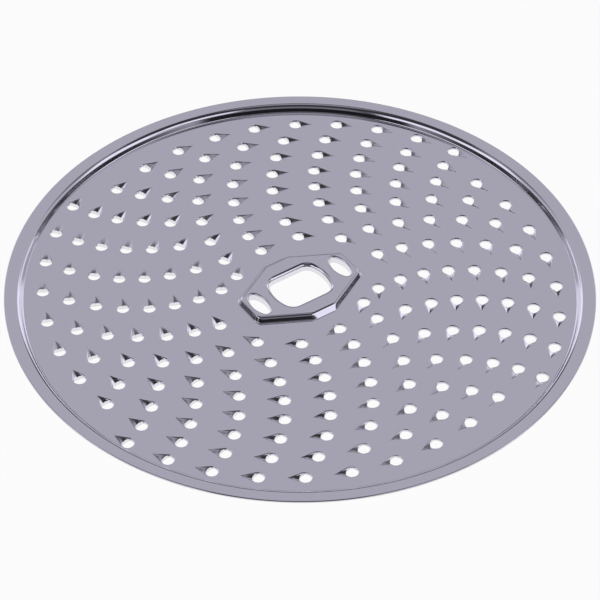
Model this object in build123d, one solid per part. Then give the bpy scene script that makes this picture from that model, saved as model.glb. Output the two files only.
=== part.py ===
from build123d import *
from math import cos, degrees, hypot, log, pi, radians, sin, sqrt, tan
import os

# A food processor's grating disc, pressed from one round of stainless sheet.
# Millimetres, +Z up. The axis is Z, the tooth tips stand on Z = 0 and the hub is long along X.

# Sheet and stepped rim
sheet = 0.6
disc_diameter = 137.0
rim_width = 3.2          # flange, from the top of its wall to the cut edge
rim_rise = 1.9           # plate to flange
rim_wall_angle = 55.0    # from the plate
rim_bend = 0.5           # flat across the crest

# Raised eight-sided hub, measured at its foot
hub_length = 29.6
hub_width = 21.4
hub_end = 8.6            # straight end, across X
hub_side = 5.6           # straight side, along X
hub_corner = 2.2
hub_rise = 1.4
hub_end_angle = 67.0     # the end, slanted and side walls, from the plate
hub_slant_angle = 56.0
hub_side_angle = 46.0
hub_bend = 0.3           # flat across the crest

# Drive hole with two flats and bowed ends
drive_length = 13.4
drive_width = 10.3       # across the flats
drive_end = 10.0         # radius of the bowed ends
drive_corner = 2.5
drive_bend = 0.75

# Lens holes in the hub's two ends
lens_width = 3.55
lens_tip = 1.0           # radius of the points
lens_bend = 0.5
lip_wall = 0.45          # turned-down lips, drawn thinner than the sheet
hub_land = 0.3           # flat left between a lens lip and the hub's crest

# Grating teeth on spiral arms
arm_count = 4
arm_pitch = 5.92         # between neighbouring arms, along a radius
arm_angle = 198.2        # start of the first arm, from +X
tooth_step = 10.25       # along an arm
rim_gap = 0.4            # plate left between an arm's first hole and the rim's wall
hub_gap = 0.3            # an arm ends before a hole comes this near to the hub's foot
least_radius = 15.4      # no hole's centre stands nearer to the axis
hole_diameter = 2.7
hole_sides = 7           # flat sides that stand for a round hole
valley_reach = 3.8       # from the hole's centre to the valley's point
valley_depth = 0.8       # at the hole's edge
valley_draw = 0.2        # extra depth and length of the underside
overlap = 0.2            # tools run this far past a face

# Heights
plate_bottom = valley_depth + valley_draw
plate_top = plate_bottom + sheet
rim_bottom = plate_bottom + rim_rise
rim_top = plate_top + rim_rise
hub_top = plate_top + hub_rise

# Where the rim's wall stands
disc_radius = disc_diameter / 2
rim_crest = disc_radius - rim_width
rim_foot = rim_crest - rim_rise / tan(radians(rim_wall_angle))

# The hub's end, slanted and side walls: angles from the plate, and distances of the foot from the axis
hub_angles = [radians(angle) for angle in (hub_end_angle, hub_slant_angle, hub_side_angle)]
slant_x = (hub_length - hub_side) / 2
slant_y = (hub_width - hub_end) / 2
slant = hypot(slant_x, slant_y)
slant_foot = (slant_y * hub_length + slant_x * hub_end) / (2 * slant)
hub_foot = [hub_length / 2, slant_foot, hub_width / 2]


def blank():
    # The sheet's section, from the axis to the cut edge, turned about Z
    shift = sheet * tan(radians(rim_wall_angle / 2))
    section = make_face(
        Polyline(
            (0, plate_bottom),
            (rim_foot + shift, plate_bottom),
            (rim_crest + shift, rim_bottom),
            (disc_radius, rim_bottom),
            (disc_radius, rim_top),
            (rim_crest, rim_top),
            (rim_foot, plate_top),
            (0, plate_top),
            close=True,
        )
    )
    crest = section.vertices().sort_by_distance((rim_crest, rim_top))[0]
    return revolve(Plane.XZ * chamfer(crest, rim_bend), Axis.Z)


def hub_block(insets, corner):
    # Sloping end, slanted and side walls, moved in from the hub's foot, with rounded corners between them
    end, skew, side = [foot - inset for foot, inset in zip(hub_foot, insets)]
    far_x = skew * slant / slant_y
    far_y = skew * slant / slant_x
    ends = Rectangle(2 * end, 4 * side)
    slants = Polygon((far_x, 0), (0, far_y), (-far_x, 0), (0, -far_y))
    sides = Rectangle(4 * end, 2 * side)
    lean = [90 - degrees(angle) for angle in hub_angles]
    walls = [extrude(outline, hub_rise, taper=angle) for outline, angle in zip((ends, slants, sides), lean)]
    block = walls[0] & walls[1] & walls[2]
    level = block.edges().group_by(Axis.Z)
    return fillet(block.edges() - level[0] - level[-1], corner)


def hub_boss():
    # The raised outside of the hub, with its crest broken
    block = hub_block([0, 0, 0], hub_corner)
    crest = block.faces().sort_by(Axis.Z)[-1].edges()
    return Pos(0, 0, plate_top) * chamfer(crest, hub_bend)


def hub_hollow():
    # The underside of the hub: the same walls, one sheet further in
    insets = [sheet * tan(angle / 2) for angle in hub_angles]
    return Pos(0, 0, plate_bottom) * hub_block(insets, hub_corner - sheet)


def drive_outline(grow):
    # Two flats and two bowed ends, moved out from the hole's edge
    bowed = Circle(drive_end + grow)
    shift = drive_end - drive_length / 2
    flats = Rectangle(2 * drive_length, drive_width + 2 * grow)
    outline = Pos(-shift, 0) * bowed & Pos(shift, 0) * bowed & flats
    return fillet(outline.vertices(), drive_corner + grow)


def lens_outline(grow):
    # Two equal arcs with rounded points, as large as the hub's end leaves room for, moved out from the edge
    land = hub_bend + hub_land + lens_bend
    end, skew, side = [foot - hub_rise / tan(angle) - land for foot, angle in zip(hub_foot, hub_angles)]
    half = lens_width / 2
    centre = end - half
    tip = ((skew - lens_tip) * slant - centre * slant_y) / slant_x
    arc = (tip**2 + half**2 - lens_tip**2) / (2 * (half - lens_tip))
    bow = Pos(half - arc, 0) * Circle(arc + grow)
    points = bow & Rot(0, 0, 180) * bow
    return Pos(centre, 0) * fillet(points.vertices(), lens_tip + grow)


def clear_of_hub(x, y):
    # How far a point lies outside the hub's foot
    past_slant = (slant_y * abs(x) + slant_x * abs(y)) / slant - slant_foot
    return max(abs(x) - hub_length / 2, past_slant, abs(y) - hub_width / 2)


def arm_places(start_angle, step):
    # Equal steps along one arm, from the rim inwards; each tooth's X points along its valley
    rate = arm_count * arm_pitch / (2 * pi)
    outer = rim_foot - rim_gap - hole_diameter / 2
    places = []
    while True:
        radius = outer
        for refine in range(4):
            walked = step * tooth_step - rate / 2 * log(outer / radius)
            radius = sqrt(outer**2 - 2 * rate * walked)
        turn = radians(start_angle) + (outer - radius) / rate
        if clear_of_hub(radius * cos(turn), radius * sin(turn)) < hole_diameter / 2 + hub_gap:
            return places
        radius = max(radius, least_radius)
        heading = degrees(turn) - 90
        places.append(Pos(radius * cos(turn), radius * sin(turn)) * Rot(0, 0, heading))
        step += 1


def tooth_places():
    # Every other arm starts one step in from the rim
    places = []
    for arm in range(arm_count):
        places += arm_places(arm_angle + arm * 360 / arm_count, arm % 2)
    return places


def tooth_wedge(face_height, reach, depth):
    # A pointed valley below a face: two slopes that meet in a line from its point to the hole
    radius = hole_radius()
    side = 2 * pi / hole_sides
    low = Vector(radius, 0, face_height - depth)
    rim = [
        Vector(reach, 0, face_height),
        Vector(radius * cos(side), radius * sin(side), face_height),
        Vector(radius * cos(side), -radius * sin(side), face_height),
    ]
    grow = 1 + overlap / depth
    return ConvexPolyhedron([low] + [low + (point - low) * grow for point in rim])


def hole_radius():
    # Corner radius of the flat-sided hole that has a round hole's area
    return hole_diameter / 2 * sqrt(2 * pi / (hole_sides * sin(2 * pi / hole_sides)))


def hub_outlines(grow):
    # The drive hole and the lens holes
    right_lens = lens_outline(grow)
    return [drive_outline(grow), right_lens, Rot(0, 0, 180) * right_lens]


def hole_edges(part, outline):
    # The upper edges of a hole in the hub's top
    flats = part.faces().filter_by(Plane.XY)
    top = [face for face in flats if abs(face.center().Z - hub_top) < 1e-6][0]
    return top.inner_wires().sort_by_distance(outline.center())[0].edges()


disc = blank() + hub_boss() - hub_hollow()
openings = hub_outlines(0)
disc += [Pos(0, 0, plate_bottom) * extrude(lip, hub_rise + sheet / 2) for lip in hub_outlines(lip_wall)]
disc -= [extrude(outline, hub_top + overlap) for outline in openings]
disc = fillet(hole_edges(disc, openings[0]), drive_bend)
for outline in openings[1:]:
    disc = chamfer(hole_edges(disc, outline), lens_bend)

places = tooth_places()
tooth = tooth_wedge(plate_bottom, valley_reach + valley_draw, valley_depth + valley_draw)
valley = tooth_wedge(plate_top, valley_reach, valley_depth)
hole = extrude(RegularPolygon(hole_radius(), hole_sides), plate_top + overlap)
disc += [place * tooth for place in places]
disc -= [place * valley for place in places]
disc -= [place * hole for place in places]

os.makedirs("parts", exist_ok=True)
disc.label = "grating_disc"
export_step(disc, "parts/grating_disc.step")
print("teeth", len(places), "solids", len(disc.solids()), "faces", len(disc.faces()), "volume", round(disc.volume, 1))
print("size", disc.bounding_box().size)
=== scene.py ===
from math import acos, asin, atan2, cos, pi, radians, sin, sqrt, tan

import bmesh
import bpy
from mathutils import Matrix, Vector


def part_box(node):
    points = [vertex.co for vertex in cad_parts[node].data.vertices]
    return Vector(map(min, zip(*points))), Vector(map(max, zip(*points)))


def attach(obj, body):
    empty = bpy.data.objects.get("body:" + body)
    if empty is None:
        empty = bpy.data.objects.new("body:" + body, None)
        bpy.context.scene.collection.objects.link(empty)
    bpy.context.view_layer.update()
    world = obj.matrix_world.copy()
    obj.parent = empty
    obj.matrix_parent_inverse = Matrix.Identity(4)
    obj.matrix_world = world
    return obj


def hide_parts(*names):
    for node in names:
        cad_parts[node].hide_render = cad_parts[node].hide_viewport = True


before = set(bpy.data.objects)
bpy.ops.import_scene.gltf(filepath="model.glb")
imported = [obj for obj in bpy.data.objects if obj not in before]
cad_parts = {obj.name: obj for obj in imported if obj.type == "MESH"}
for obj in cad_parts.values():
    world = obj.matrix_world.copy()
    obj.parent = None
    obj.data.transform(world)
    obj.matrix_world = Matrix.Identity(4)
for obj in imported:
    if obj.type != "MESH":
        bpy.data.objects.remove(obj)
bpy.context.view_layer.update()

# Sizes below are in millimetres; the finished disc is brought to metres once, at the end
metre = 0.001
lowCorner, highCorner = (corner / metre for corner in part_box("grating_disc"))
discRadius = min(highCorner.x, -lowCorner.x)
rimTop = highCorner.z
print("frame: disc radius", round(discRadius, 2), "mm, rim top", round(rimTop, 2), "mm")


class Socket:
    # An output of a node tree. Arithmetic on it adds Math nodes, and a list of inputs goes to one socket

    def __init__(self, tree, link=None):
        self.tree = tree
        self.link = link

    def node(self, kind, settings=None, inputs=None, output=0):
        made = self.tree.nodes.new(kind)
        for name, value in (settings or {}).items():
            setattr(made, name, value)
        for name, value in (inputs or {}).items():
            for part in value if isinstance(value, list) else [value]:
                if isinstance(part, Socket):
                    self.tree.links.new(part.link, made.inputs[name])
                else:
                    made.inputs[name].default_value = part
        return Socket(self.tree, made.outputs[output] if made.outputs else None)

    def out(self, name):
        return Socket(self.tree, self.link.node.outputs[name])

    def math(self, operation, first, second=0.0):
        return self.node("ShaderNodeMath", {"operation": operation}, {0: first, 1: second})

    def __add__(self, other):
        return self.math("ADD", self, other)

    def __radd__(self, other):
        return self.math("ADD", other, self)

    def __sub__(self, other):
        return self.math("SUBTRACT", self, other)

    def __rsub__(self, other):
        return self.math("SUBTRACT", other, self)

    def __mul__(self, other):
        return self.math("MULTIPLY", self, other)

    def __rmul__(self, other):
        return self.math("MULTIPLY", other, self)

    def __truediv__(self, other):
        return self.math("DIVIDE", self, other)

    def __rtruediv__(self, other):
        return self.math("DIVIDE", other, self)

    def __mod__(self, other):
        return self.math("MODULO", self, other)

    def __lt__(self, other):
        return self.math("LESS_THAN", self, other)

    def __gt__(self, other):
        return self.math("GREATER_THAN", self, other)


# Sheet and heights
sheet = {
    "thickness": 0.6,
    "plateTop": 1.6,       # above the tooth tips
    "lipThickness": 0.45,  # turned-down lips round the hub's holes
    "lipBreak": 0.06,      # radius on a lip's cut edges
    "lipInside": 0.05,     # least radius inside a lip's bend
    "flatRun": 0.6,        # flat that leads into a bend; only its direction counts
    "holdShare": 0.15,     # close point beside a bend, as a share of the bend's reach
    "holdMost": 0.05,      # the most that it stands off
    "weld": 0.002,         # points nearer than this become one
    "sharpTurn": 47.0,     # edges that turn more than this stay sharp
}
plateTop = sheet["plateTop"]
plateUnder = plateTop - sheet["thickness"]


def bentSection(corners):
    # Points of a section, from corners (across, height, bend radius, steps). A close point on each side
    # of a bend keeps the flat beside it flat
    points = []
    for index, (across, height, radius, steps) in enumerate(corners):
        here = Vector((across, height))
        if steps == 0:
            points.append(here)
            continue
        before = (Vector(corners[index - 1][:2]) - here).normalized()
        after = (Vector(corners[index + 1][:2]) - here).normalized()
        half = before.angle(after) / 2
        reach = radius / tan(half)
        centre = here + (before + after).normalized() * (radius / sin(half))
        first = here + before * reach - centre
        last = here + after * reach - centre
        turn = first.angle_signed(last)
        hold = min(sheet["holdShare"] * reach, sheet["holdMost"])
        points.append(here + before * (reach + hold))
        for step in range(steps + 1):
            points.append(centre + Matrix.Rotation(-turn * step / steps, 2) @ first)
        points.append(here + after * (reach + hold))
    return points


def addBands(mesh, rings):
    # Quads between neighbouring rings of points
    loops = [[mesh.verts.new(point) for point in ring] for ring in rings]
    for inner, outer in zip(loops, loops[1:]):
        for index in range(len(inner)):
            following = (index + 1) % len(inner)
            mesh.faces.new((inner[index], inner[following], outer[following], outer[index]))
    return loops


def markLoop(mesh, loop, region):
    # The edges that a flat region of the sheet is filled up to
    layer = mesh.edges.layers.int["region"]
    for index, vert in enumerate(loop):
        edge = mesh.edges.get((vert, loop[(index + 1) % len(loop)]))
        edge[layer] = regions.index(region) + 1


regions = ["plateTop", "plateUnder", "hubTop", "hubUnder"]
forms = bmesh.new()
forms.edges.layers.int.new("region")

# Stepped rim
rim = {
    "width": 3.4,        # cut edge to the corner that the crest's bend rounds
    "rise": 1.9,
    "wallAngle": 64.0,
    "footBend": 0.45,
    "crestBend": 1.6,
    "edgeBreak": 0.27,
    "segments": 240,
}


def addRim(mesh):
    thickness = sheet["thickness"]
    shift = thickness * tan(radians(rim["wallAngle"] / 2))
    crest = discRadius - rim["width"]
    foot = crest - rim["rise"] / tan(radians(rim["wallAngle"]))
    inner = foot - rim["footBend"]
    section = bentSection([
        (inner, plateTop, 0, 0),
        (foot, plateTop, rim["footBend"], 6),
        (crest, rimTop, rim["crestBend"], 8),
        (discRadius, rimTop, rim["edgeBreak"], 3),
        (discRadius, rimTop - thickness, rim["edgeBreak"], 3),
        (crest + shift, rimTop - thickness, rim["crestBend"] - thickness, 4),
        (foot + shift, plateUnder, rim["footBend"] + thickness, 5),
        (inner, plateUnder, 0, 0),
    ])[1:-1]
    turns = [2 * pi * step / rim["segments"] for step in range(rim["segments"])]
    rings = []
    for radius, height in section:
        rings.append([Vector((radius * cos(turn), radius * sin(turn), height)) for turn in turns])
    loops = addBands(mesh, rings)
    markLoop(mesh, loops[0], "plateTop")
    markLoop(mesh, loops[-1], "plateUnder")
    print("rim: inner edge", round(section[0].x, 3), "and", round(section[-1].x, 3))


addRim(forms)

# Raised eight-sided hub with its drive hole and lens holes
hub = {
    "length": 29.6,
    "width": 21.4,
    "end": 8.6,
    "side": 5.6,
    "corner": 2.2,
    "cornerDraw": 0.4,   # how much a corner's radius follows its walls inwards
    "cornerRun": 0.25,   # straight beside each corner
    "cornerSteps": 4,
    "rise": 1.4,
    "wallAngles": (64.0, 60.0, 50.0),  # ends, slants, sides
    "footBend": 0.35,
    "crestBends": (0.35, 1.0, 1.0),
    "insideBend": 0.12,  # least radius under the crest
}
drive = {"length": 13.4, "width": 10.3, "end": 10.0, "corner": 2.5, "bend": 1.1}
lens = {"width": 3.55, "length": 7.4, "centre": 11.33, "tip": 1.0, "bend": 0.5}
hubTop = plateTop + hub["rise"]
hubUnder = hubTop - sheet["thickness"]


def arcRing(arcs, grow, height):
    # Points round an outline of arcs, each (centre, radius, start, end, steps), moved out by grow
    ring = []
    for centre, radius, start, end, steps in arcs:
        for step in range(steps + 1):
            angle = start + (end - start) * step / steps
            point = centre + (radius + grow) * Vector((cos(angle), sin(angle)))
            ring.append(Vector((point.x, point.y, height)))
    return ring


def hubFaces():
    # Direction, distance from the axis at the foot and kind of each of the eight walls, the first one twice
    slantX = (hub["length"] - hub["side"]) / 2
    slantY = (hub["width"] - hub["end"]) / 2
    slant = atan2(slantX, slantY)
    slantReach = hub["length"] / 2 * cos(slant) + hub["end"] / 2 * sin(slant)
    reach = [hub["length"] / 2, slantReach, hub["width"] / 2]
    turns = [0, slant, pi / 2, pi - slant, pi, pi + slant, 3 * pi / 2, 2 * pi - slant, 2 * pi]
    kinds = [0, 1, 2, 1, 0, 1, 2, 1, 0]
    return [(turn, reach[kind], kind) for turn, kind in zip(turns, kinds)]


def hubRing(places):
    # A ring round the hub through each kind of wall's (across, height), with rounded corners
    ring = []
    faces = hubFaces()
    for (start, near, first), (end, far, second) in zip(faces, faces[1:]):
        corner = hub["corner"] + hub["cornerDraw"] * (places[first].x + places[second].x)
        near += places[first].x - corner
        far += places[second].x - corner
        bend = sin(end - start)
        centre = Vector((near * sin(end) - far * sin(start), far * cos(start) - near * cos(end))) / bend
        steps, run = hub["cornerSteps"], hub["cornerRun"]
        for step in range(-1, steps + 2):
            share = max(0, min(1, step / steps))
            angle = start + (end - start) * share
            point = centre + corner * Vector((cos(angle), sin(angle)))
            if step < 0 or step > steps:
                point += run * (1 if step > 0 else -1) * Vector((-sin(angle), cos(angle)))
            height = places[first].y + (places[second].y - places[first].y) * share
            ring.append(Vector((point.x, point.y, height)))
    return ring


def driveArcs():
    # Two bowed ends and two flats, with rounded corners
    back = drive["end"] - drive["length"] / 2
    across = drive["end"] - drive["corner"]
    high = drive["width"] / 2 - drive["corner"]
    along = sqrt(across**2 - high**2) - back
    lean = asin(high / across)
    arcs = []
    for half in (0, pi):
        turn = Matrix.Rotation(half, 2)
        arcs.append((turn @ Vector((-back, 0)), drive["end"], half - lean, half + lean, 8))
        arcs.append((turn @ Vector((along, high)), drive["corner"], half + lean, half + pi / 2, 6))
        arcs.append((turn @ Vector((-along, high)), drive["corner"], half + pi / 2, half + pi - lean, 6))
    return arcs


def lensArcs(side):
    # Two equal arcs with rounded points
    half = lens["width"] / 2
    point = lens["length"] / 2 - lens["tip"]
    radius = (point**2 + half**2 - lens["tip"] ** 2) / (2 * (half - lens["tip"]))
    lean = atan2(point, radius - half)
    arcs = []
    for turned in (0, pi):
        turn = Matrix.Rotation(turned, 2)
        middle = Vector((side * lens["centre"], 0))
        arcs.append((middle + turn @ Vector((half - radius, 0)), radius, turned - lean, turned + lean, 8))
        arcs.append((middle + turn @ Vector((0, point)), lens["tip"], turned + lean, turned + pi - lean, 5))
    return arcs


def addHub(mesh):
    thickness, run = sheet["thickness"], sheet["flatRun"]
    above, below = [], []
    for angle, crestBend in zip(hub["wallAngles"], hub["crestBends"]):
        shift = thickness * tan(radians(angle / 2))
        wall = hub["rise"] / tan(radians(angle))
        above.append(bentSection([
            (run, plateTop, 0, 0),
            (0, plateTop, hub["footBend"], 4),
            (-wall, hubTop, crestBend, 5),
            (-wall - run, hubTop, 0, 0),
        ])[1:-1])
        below.append(bentSection([
            (run, plateUnder, 0, 0),
            (-shift, plateUnder, hub["footBend"] + thickness, 4),
            (-wall - shift, hubUnder, max(crestBend - thickness, hub["insideBend"]), 4),
            (-wall - shift - run, hubUnder, 0, 0),
        ])[1:-1])
    skins = ((above, "plateTop", "hubTop"), (below, "plateUnder", "hubUnder"))
    for sections, outer, inner in skins:
        loops = addBands(mesh, [hubRing(places) for places in zip(*sections)])
        markLoop(mesh, loops[0], outer)
        markLoop(mesh, loops[-1], inner)


def addLip(mesh, arcs, bend):
    # A lip turned down round a hole in the hub, from its top to the plate's underside and back
    thickness, run = sheet["lipThickness"], sheet["flatRun"]
    section = bentSection([
        (bend + run, hubTop, 0, 0),
        (0, hubTop, bend, 7),
        (0, plateUnder, sheet["lipBreak"], 2),
        (thickness, plateUnder, sheet["lipBreak"], 2),
        (thickness, hubUnder, max(bend - thickness, sheet["lipInside"]), 3),
        (bend + run, hubUnder, 0, 0),
    ])[1:-1]
    loops = addBands(mesh, [arcRing(arcs, across, height) for across, height in section])
    markLoop(mesh, loops[0], "hubTop")
    markLoop(mesh, loops[-1], "hubUnder")


addHub(forms)
addLip(forms, driveArcs(), drive["bend"])
for side in (-1, 1):
    addLip(forms, lensArcs(side), lens["bend"])
print("rim and hub:", len(forms.faces), "faces")

# Grating teeth: a round hole with a valley that runs down into it from a point
teeth = {
    "armCount": 4,
    "armPitch": 5.92,
    "armAngle": 198.2,
    "toothStep": 10.25,
    "armTurns": 2.2,
    "armResolution": 240,
    "firstRadius": 62.2,
    "leastRadius": 15.4,
    "evenLast": 46,  # last step on an arm that starts at the rim, and on one that starts a step in
    "oddLast": 48,
    "holeRadius": 1.35,
    "valleyReach": 3.8,  # from the hole's centre to the point
    "drawnReach": 4.0,   # the same on the underside
    "mouthShares": (0.72, 0.4, 0.15, 0),      # places across the mouth, from its side to its middle
    "mouthDrops": (0.2, 0.315, 0.468, 0.58),  # depths there below the plate's top
    "drawnDrops": (0, 0.12, 0.45, 0.75, 0.93, 0.98),  # below its underside, from the hole's back inwards
    "mouthRoll": (0.31, 0.18),  # width and depth of the rolled edge along the valley
    "holeRoll": (0.18, 0.34),   # the same round the hole
    "hold": 0.03,        # ring that keeps the plate flat round the tooth
    "tipShare": 0.1,     # last row of the valley, as a share of the way from its point
    "tipFlat": 0.3,      # flat past the point
    "tipFan": 150.0,     # degrees that this flat spreads over
    "backStart": 1.15,   # where the hole's back starts, in mouth angles
    "backSteps": 8,
}


def fanRows(spots, height, reach, flats):
    # Rows of points at the hole's edge, near the valley's point, and on the flat past it
    point = Vector((reach, 0, height))
    atHole = [Vector((x, y, height - drop)) for x, y, drop in spots]
    nearPoint = [point + (spot - point) * teeth["tipShare"] for spot in atHole]
    nearPoint[0] -= Vector((0, teeth["tipFlat"] / 2, 0))
    nearPoint[-1] += Vector((0, teeth["tipFlat"] / 2, 0))
    shares = [index / (len(spots) - 1) - 0.5 for index in range(len(spots))]
    fans = [radians(teeth["tipFan"]) * share for share in shares]
    past = [[point + flat * Vector((cos(fan), sin(fan), 0)) for fan in fans] for flat in flats]
    return [atHole, nearPoint] + past


def mirrored(spots):
    # A side's points from the outside to the middle, then the other side's
    return [(x, -y, drop) for x, y, drop in spots[:-1]] + spots[::-1]


def rolledEdge(width, depth):
    # Distances out from the hole and drops, from the flat plate down to the hole's edge
    return [(width + teeth["hold"], 0), (width, 0), (0, depth)]


def makeTooth():
    radius, reach, tip = teeth["holeRadius"], teeth["valleyReach"], teeth["tipFlat"]
    mouth = acos(radius / reach)
    turns = [mouth * share for share in teeth["mouthShares"]]
    above = [((radius + out) * cos(mouth), (radius + out) * sin(mouth), drop)
             for out, drop in rolledEdge(*teeth["mouthRoll"])]
    above += [(radius * cos(turn), radius * sin(turn), drop)
              for turn, drop in zip(turns, teeth["mouthDrops"])]
    backStart, steps = teeth["backStart"] * mouth, teeth["backSteps"]
    below = [(radius * cos(turn), radius * sin(turn), drop)
             for turn, drop in zip([backStart, mouth] + turns, teeth["drawnDrops"])]
    back = [backStart + 2 * (pi - backStart) * step / steps for step in range(steps + 1)]

    mesh = bmesh.new()
    mesh.edges.layers.int.new("region")
    upperRows = fanRows(mirrored(above), plateTop, reach, [tip, tip + teeth["hold"]])
    lowerRows = fanRows(mirrored(below), plateUnder, teeth["drawnReach"], [tip])
    upper = [[mesh.verts.new(spot) for spot in row] for row in upperRows]
    lower = [[mesh.verts.new(spot) for spot in row] for row in lowerRows]
    for rows in (upper, lower):
        for near, far in zip(rows, rows[1:]):
            for index in range(len(near) - 1):
                mesh.faces.new((near[index], far[index], far[index + 1], near[index + 1]))

    # The rolled edge round the back of the hole, and the hole's wall
    rings = []
    for index, (out, drop) in enumerate(rolledEdge(*teeth["holeRoll"])):
        ring = [mesh.verts.new(((radius + out) * cos(turn), (radius + out) * sin(turn), plateTop - drop))
                for turn in back]
        rings.append([upper[0][-1 - index]] + ring + [upper[0][index]])
    for outer, inner in zip(rings, rings[1:]):
        for index in range(len(outer) - 1):
            mesh.faces.new((outer[index], outer[index + 1], inner[index + 1], inner[index]))
    footRing = [mesh.verts.new((radius * cos(turn), radius * sin(turn), plateUnder)) for turn in back[1:-1]]
    wallTop = rings[-1][1:-1] + upper[0][2:-2]
    wallFoot = [lower[0][-1]] + footRing + lower[0][:-1]
    for index in range(len(wallTop)):
        following = (index + 1) % len(wallTop)
        mesh.faces.new((wallTop[index], wallTop[following], wallFoot[following], wallFoot[index]))

    for rows, arc, region in ((upper, rings[0][1:-1], "plateTop"), (lower, footRing, "plateUnder")):
        there, andBack = [row[0] for row in rows], [row[-1] for row in reversed(rows)]
        markLoop(mesh, arc + there + rows[-1][1:-1] + andBack, region)
    return mesh


def asObject(mesh, name):
    data = bpy.data.meshes.new(name)
    mesh.to_mesh(data)
    mesh.free()
    made = bpy.data.objects.new(name, data)
    bpy.context.scene.collection.objects.link(made)
    return made


tooth = makeTooth()
print("tooth:", len(tooth.faces), "faces")
toothObject = asObject(tooth, "toothCell")
discObject = asObject(forms, "gratingDisc")

# Satin stainless steel. Lengths are in metres, as object coordinates are
steel = {
    "colour": (0.79, 0.78, 0.83),
    "worn": (0.86, 0.85, 0.88),
    # Colour of the painted shade in the sheet's creases
    "creaseShade": (0.66, 0.65, 0.69),
    "roughness": 0.11,
    "roughPatches": 0.05,  # how far roughness goes up and down over patches and grain
    "roughGrain": 0.05,
    "roughCrease": 0.1,      # added in creases, where shade is also painted, and on worn bends
    "roughWorn": -0.03,
    "grainAcross": 0.00025,
    "grainAlong": 0.006,
    "grainDepth": 0.0000012,
    "patch": 0.018,
    "patchShare": (0.1, 0.8),  # least wear and painted crease shade, and how much more of them the patches give
}


def makeSteel():
    material = bpy.data.materials.new("satinSteel")
    material.use_nodes = True
    tree = material.node_tree
    start = Socket(tree)
    place = start.node("ShaderNodeTexCoord").out("Object")
    along, across = 1 / steel["grainAlong"], 1 / steel["grainAcross"]
    stretched = start.node("ShaderNodeVectorMath", {"operation": "MULTIPLY"}, {
        0: place,
        1: (along, across, across),
    })
    grain = start.node("ShaderNodeTexNoise", None, {"Vector": stretched, "Scale": 1.0, "Detail": 2.0})
    patches = start.node("ShaderNodeTexNoise", None, {
        "Vector": place,
        "Scale": 1 / steel["patch"],
        "Detail": 3.0,
    })
    wear = start.node("ShaderNodeAttribute", {"attribute_name": "wear"}).out("Fac")
    recess = start.node("ShaderNodeAttribute", {"attribute_name": "recess"}).out("Fac")

    # Bends that stick out are rubbed bright, and creases get painted shade: a darker colour, and more
    # roughness
    least, more = steel["patchShare"]
    uneven = patches * more + least
    # Painted shade: how much the creases are darkened, unevenly over patches
    creaseShade = recess * uneven
    bright = wear * uneven
    colour = (*steel["colour"], 1)
    # Mixes in the worn colour on bends that stick out, then the painted shade in creases
    for share, other in ((bright, steel["worn"]), (creaseShade, steel["creaseShade"])):
        colour = start.node("ShaderNodeMix", {"data_type": "RGBA"}, {
            0: share,
            6: colour,
            7: (*other, 1),
        }, output=2)
    roughness = steel["roughness"] + (patches - 0.5) * steel["roughPatches"]
    roughness = roughness + (grain - 0.5) * steel["roughGrain"]
    roughness = roughness + creaseShade * steel["roughCrease"] + bright * steel["roughWorn"]
    bump = start.node("ShaderNodeBump", None, {
        "Height": grain,
        "Strength": 1.0,
        "Distance": steel["grainDepth"],
    })
    shader = tree.nodes["Principled BSDF"]
    shader.inputs["Metallic"].default_value = 1
    tree.links.new(colour.link, shader.inputs["Base Color"])
    tree.links.new(roughness.link, shader.inputs["Roughness"])
    tree.links.new(bump.link, shader.inputs["Normal"])
    return material


satinSteel = makeSteel()
print("steel:", len(satinSteel.node_tree.nodes), "nodes")


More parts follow.
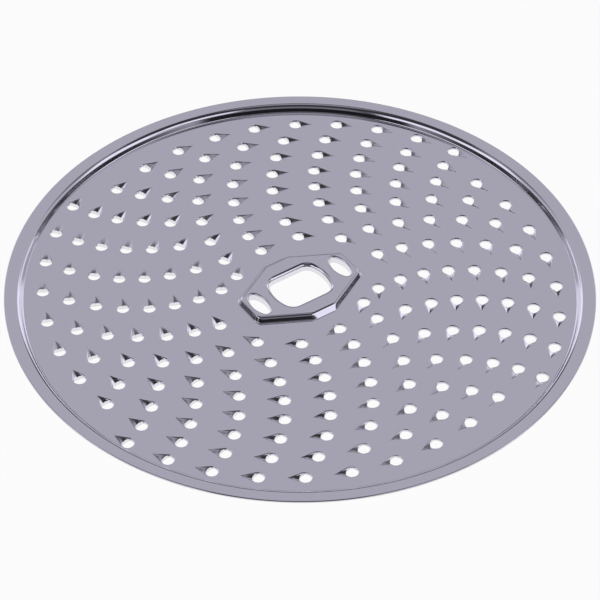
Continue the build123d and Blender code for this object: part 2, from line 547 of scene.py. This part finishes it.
# Plate with its teeth on spiral arms, filled up to the rim and the hub
def pressTree():
    tree = bpy.data.node_groups.new("pressTeeth", "GeometryNodeTree")
    tree.interface.new_socket("Geometry", in_out="INPUT", socket_type="NodeSocketGeometry")
    named = {
        "Tooth": "NodeSocketObject",
        "Steel": "NodeSocketMaterial",
        "Arm Count": "NodeSocketInt",
        "Arm Pitch": "NodeSocketFloat",
        "Arm Angle": "NodeSocketFloat",
        "Tooth Step": "NodeSocketFloat",
        "First Radius": "NodeSocketFloat",
        "Least Radius": "NodeSocketFloat",
        "Even Last": "NodeSocketInt",
        "Odd Last": "NodeSocketInt",
    }
    for name, kind in named.items():
        tree.interface.new_socket(name, in_out="INPUT", socket_type=kind)
    tree.interface.new_socket("Geometry", in_out="OUTPUT", socket_type="NodeSocketGeometry")
    given = Socket(tree).node("NodeGroupInput")
    armCount = given.out("Arm Count")
    stepCount = given.out("Odd Last") + 1.0

    # One arm, from the rim inwards
    inward = given.out("Arm Pitch") * armCount
    spiral = given.node("GeometryNodeCurveSpiral", None, {
        "Resolution": teeth["armResolution"],
        "Rotations": teeth["armTurns"],
        "Start Radius": given.out("First Radius"),
        "End Radius": given.out("First Radius") - inward * teeth["armTurns"],
        "Height": 0.0,
        "Reverse": True,
    })
    points = given.node("GeometryNodePoints", None, {"Count": stepCount * armCount})
    index = given.node("GeometryNodeInputIndex")
    arm = given.math("FLOOR", index / stepCount)
    step = index % stepCount
    sampled = given.node("GeometryNodeSampleCurve", {"mode": "LENGTH"}, {
        "Curves": spiral,
        "Length": step * given.out("Tooth Step"),
    })
    place = given.node("ShaderNodeSeparateXYZ", None, {0: sampled.out("Position")})
    radius = given.math("SQRT", place.out("X") * place.out("X") + place.out("Y") * place.out("Y"))
    held = given.math("MAXIMUM", radius, given.out("Least Radius"))
    armAngle = given.math("RADIANS", given.out("Arm Angle"))
    turn = given.math("ARCTAN2", place.out("Y"), place.out("X")) + armAngle + arm * (2 * pi) / armCount
    spot = given.node("ShaderNodeCombineXYZ", None, {
        "X": held * given.math("COSINE", turn),
        "Y": held * given.math("SINE", turn),
    })

    # Every other arm starts one step in, and has a last step of its own
    odd = arm % 2.0
    last = given.out("Even Last") + odd * (given.out("Odd Last") - given.out("Even Last"))
    outside = given.math("MAXIMUM", step < odd, step > last)
    placed = given.node("GeometryNodeSetPosition", None, {"Geometry": points, "Position": spot})
    heading = given.node("ShaderNodeCombineXYZ", None, {"Z": turn - pi / 2})
    marked = given.node("GeometryNodeStoreNamedAttribute", {"data_type": "FLOAT_VECTOR"}, {
        "Geometry": placed,
        "Name": "heading",
        "Value": heading,
    })
    kept = given.node("GeometryNodeDeleteGeometry", {"domain": "POINT"}, {
        "Geometry": marked,
        "Selection": outside,
    })
    cell = given.node("GeometryNodeObjectInfo", None, {"Object": given.out("Tooth")}).out("Geometry")
    facing = given.node("GeometryNodeInputNamedAttribute", {"data_type": "FLOAT_VECTOR"}, {"Name": "heading"})
    copies = given.node("GeometryNodeInstanceOnPoints", None, {
        "Points": kept,
        "Instance": cell,
        "Rotation": facing,
    })
    cells = given.node("GeometryNodeRealizeInstances", None, {"Geometry": copies})

    # Flat regions of the sheet, filled between the marked edges
    pieces = given.node("GeometryNodeJoinGeometry", None, {"Geometry": [given.out("Geometry"), cells]})
    region = given.node("GeometryNodeInputNamedAttribute", {"data_type": "INT"}, {"Name": "region"})
    heights = {"plateTop": plateTop, "plateUnder": plateUnder, "hubTop": hubTop, "hubUnder": hubUnder}
    flats = []
    for number, name in enumerate(regions):
        chosen = given.node("ShaderNodeMath", {"operation": "COMPARE"}, {0: region, 1: number + 1.0, 2: 0.1})
        outline = given.node("GeometryNodeMeshToCurve", None, {"Mesh": pieces, "Selection": chosen})
        filled = given.node("GeometryNodeFillCurve", None, {"Curve": outline})
        lift = given.node("ShaderNodeCombineXYZ", None, {"Z": heights[name]})
        flats.append(given.node("GeometryNodeSetPosition", None, {"Geometry": filled, "Offset": lift}))
    whole = given.node("GeometryNodeJoinGeometry", None, {"Geometry": [pieces] + flats})
    merged = given.node("GeometryNodeMergeByDistance", None, {"Geometry": whole, "Distance": sheet["weld"]})
    realized = given.node("GeometryNodeRealizeInstances", None, {"Geometry": merged})
    coated = given.node("GeometryNodeSetMaterial", None, {
        "Geometry": realized,
        "Material": given.out("Steel"),
    })
    given.node("NodeGroupOutput", None, {"Geometry": coated})
    return tree


def pressDisc():
    modifier = discObject.modifiers.new("pressTeeth", "NODES")
    modifier.node_group = pressTree()
    values = {
        "Tooth": toothObject,
        "Steel": satinSteel,
        "Arm Count": teeth["armCount"],
        "Arm Pitch": teeth["armPitch"],
        "Arm Angle": teeth["armAngle"],
        "Tooth Step": teeth["toothStep"],
        "First Radius": teeth["firstRadius"],
        "Least Radius": teeth["leastRadius"],
        "Even Last": teeth["evenLast"],
        "Odd Last": teeth["oddLast"],
    }
    for item in modifier.node_group.interface.items_tree:
        if item.in_out == "INPUT" and item.name in values:
            modifier[item.identifier] = values[item.name]
    bpy.context.view_layer.update()
    evaluated = discObject.evaluated_get(bpy.context.evaluated_depsgraph_get())
    pressed = bpy.data.meshes.new_from_object(evaluated)
    discObject.modifiers.remove(modifier)
    discObject.data = pressed
    bpy.data.objects.remove(toothObject)


pressDisc()


def finishDisc():
    mesh = bmesh.new()
    mesh.from_mesh(discObject.data)
    bmesh.ops.remove_doubles(mesh, verts=mesh.verts, dist=sheet["weld"])
    bmesh.ops.recalc_face_normals(mesh, faces=mesh.faces)
    openCount = sum(not edge.is_manifold for edge in mesh.edges)
    volume = round(mesh.calc_volume(), 1)
    print("disc:", len(mesh.faces), "faces,", openCount, "open edges, volume", volume)

    # How far the sheet bends out or in at each point, for the steel's wear and for its painted shade in
    # creases
    mesh.verts.layers.float.new("wear")
    mesh.verts.layers.float.new("recess")
    wear, recess = mesh.verts.layers.float["wear"], mesh.verts.layers.float["recess"]
    for vert in mesh.verts:
        bends = [edge.calc_face_angle_signed(0) for edge in vert.link_edges]
        vert[wear] = min(1, max(bends))
        vert[recess] = min(1, max(-bend for bend in bends))
    bmesh.ops.scale(mesh, vec=(metre, metre, metre), verts=mesh.verts)
    mesh.to_mesh(discObject.data)
    mesh.free()
    discObject.data.shade_smooth()
    discObject.data.set_sharp_from_angle(angle=radians(sheet["sharpTurn"]))


finishDisc()
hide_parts("grating_disc")
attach(discObject, "root")

# Camera at the photograph's view
view = {
    "direction": -124.6,  # degrees from +X
    "elevation": 43.2,
    "distance": 628.1,
    "orbitHeight": 1.1,   # height on the axis that the distance is measured from
    "aimHeight": -2.0,    # height on the axis that stands in the picture's middle
    "roll": 0.2,
    "lens": 162.2,
    "sensor": 36.0,
    "nearest": 0.01,      # metres from the camera where its sight starts
}


def pointing(turn, height):
    # A direction from two angles in degrees
    turn, height = radians(turn), radians(height)
    return Vector((cos(height) * cos(turn), cos(height) * sin(turn), sin(height)))


def placeCamera():
    camera = bpy.data.objects.new("camera", bpy.data.cameras.new("camera"))
    bpy.context.scene.collection.objects.link(camera)
    camera.data.lens = view["lens"]
    camera.data.sensor_width = view["sensor"]
    camera.data.clip_start = view["nearest"]
    away = pointing(view["direction"], view["elevation"]) * view["distance"]
    camera.location = (Vector((0, 0, view["orbitHeight"])) + away) * metre
    sight = Vector((0, 0, view["aimHeight"])) * metre - camera.location
    level = sight.to_track_quat("-Z", "Y").to_matrix().to_4x4()
    camera.rotation_euler = (level @ Matrix.Rotation(radians(view["roll"]), 4, "Z")).to_euler()
    bpy.context.scene.camera = camera
    print("camera:", round(view["distance"]), "mm away")


placeCamera()

# Pale floor and a soft studio all round. Angles are in degrees: turn from the camera's right, then height
studio = {
    "floorSize": 4.0,     # metres
    "floorColour": 0.9,
    "floorRoughness": 0.9,
    "shadowShare": 0.05,  # how much of the floor's own shading is seen
    "floorGloss": 1.0,    # how white the floor is in the steel
    "tint": (1.0, 0.985, 1.13),
    "grey": 0.47,
    "caps": [
        # Round patches: name, turn, height, radius, soft edge, level
        ("ceiling", -90, 60, 50, 8, 0.04),
        ("zenith", 0, 90, 11, 6, 0.32),
    ],
    "panels": [
        # Upright panels: name, middle turn, half width, lowest, highest, soft edge, level
        ("frontGlow", -90, 24, 20, 46, 8, 0.18),
        ("rightBoxFront", -46, 17, 28, 50, 8, 1.0),
        ("rightBox", -14, 17, 15, 44, 8, 1.0),
        ("leftBoxFront", -136, 14, 18, 43, 8, 1.0),
        ("leftBox", -165, 17, 12, 36, 8, 1.0),
        ("rightShade", 26, 15, 40, 58, 8, 0.14),
        ("leftShade", 154, 15, 40, 58, 8, 0.14),
        ("backDark", 90, 22, 9, 28, 6, 0.05),
        ("backRight", 57, 8, 4, 26, 4, 1.0),
        ("backLeft", 123, 8, 4, 26, 4, 1.0),
        ("backLow", 90, 60, -2, 8, 3, 1.0),
        ("frontLow", -92, 40, -12, 18, 6, 0.01),
        ("horizon", -90, 118, -12, 9, 5, 0.01),
    ],
}


def makeFloor():
    mesh = bmesh.new()
    bmesh.ops.create_grid(mesh, x_segments=1, y_segments=1, size=studio["floorSize"] / 2)
    floor = asObject(mesh, "floor")
    material = bpy.data.materials.new("paleFloor")
    material.use_nodes = True
    nodes = material.node_tree
    start = Socket(nodes)
    plain = nodes.nodes["Principled BSDF"]
    plain.inputs["Base Color"].default_value = (*[studio["floorColour"]] * 3, 1)
    plain.inputs["Roughness"].default_value = studio["floorRoughness"]
    glow = start.node("ShaderNodeEmission", None, {"Color": (1, 1, 1, 1), "Strength": 1.0})
    rays = start.node("ShaderNodeLightPath")
    seen = start.math("MAXIMUM", rays.out("Is Camera Ray"), rays.out("Is Transmission Ray"))
    seen = start.math("MAXIMUM", seen, rays.out("Is Glossy Ray") * studio["floorGloss"])
    mixed = start.node("ShaderNodeMixShader", None, {
        0: seen * (1 - studio["shadowShare"]),
        1: Socket(nodes, plain.outputs[0]),
        2: glow,
    })
    nodes.links.new(mixed.link, nodes.nodes["Material Output"].inputs["Surface"])
    floor.data.materials.append(material)


def blended(level, inside, soft, value, name):
    # The level brought to a patch's own value where inside is above zero, over a soft edge
    mask = level.node("ShaderNodeMapRange", {"interpolation_type": "SMOOTHSTEP", "label": name}, {
        "Value": inside,
        "From Min": -soft / 2,
        "From Max": soft / 2,
    })
    return level + mask * (value - level)


def makeWorld():
    world = bpy.data.worlds.new("studio")
    bpy.context.scene.world = world
    world.use_nodes = True
    nodes = world.node_tree
    start = Socket(nodes)
    way = start.node("ShaderNodeTexCoord").out("Generated")
    way = start.node("ShaderNodeVectorRotate", {"rotation_type": "Z_AXIS"}, {
        "Vector": way,
        "Angle": radians(-90 - view["direction"]),
    })
    parts = start.node("ShaderNodeSeparateXYZ", None, {0: way})
    turn = start.math("ARCTAN2", parts.out("Y"), parts.out("X")) * (180 / pi)
    lift = start.math("ARCSINE", parts.out("Z")) * (180 / pi)
    level = start.node("ShaderNodeValue")
    level.link.default_value = studio["grey"]
    for name, middle, height, radius, soft, value in studio["caps"]:
        near = start.node("ShaderNodeVectorMath", {"operation": "DOT_PRODUCT"}, {
            0: way,
            1: pointing(middle, height),
        }, output="Value")
        away = start.math("ARCCOSINE", near) * (180 / pi)
        level = blended(level, radius - away, soft, value, name)
    for name, middle, half, lowest, highest, soft, value in studio["panels"]:
        # Turn away from the panel's middle, in -180 to 180
        away = start.node("ShaderNodeMath", {"operation": "WRAP"}, {0: turn - middle, 1: 180.0, 2: -180.0})
        away = start.math("ABSOLUTE", away)
        inside = start.math("MINIMUM", half - away, start.math("MINIMUM", lift - lowest, highest - lift))
        level = blended(level, inside, soft, value, name)
    rays = start.node("ShaderNodeLightPath")
    tinted = start.node("ShaderNodeVectorMath", {"operation": "SCALE"}, {0: studio["tint"], "Scale": level})
    colour = start.node("ShaderNodeMix", {"data_type": "RGBA"}, {
        0: rays.out("Is Camera Ray"),
        6: tinted,
        7: (1, 1, 1, 1),
    }, output=2)
    nodes.links.new(colour.link, nodes.nodes["Background"].inputs["Color"])
    print("studio:", len(studio["caps"]), "caps and", len(studio["panels"]), "panels")


makeFloor()
makeWorld()
bpy.context.scene.view_settings.view_transform = "Standard"
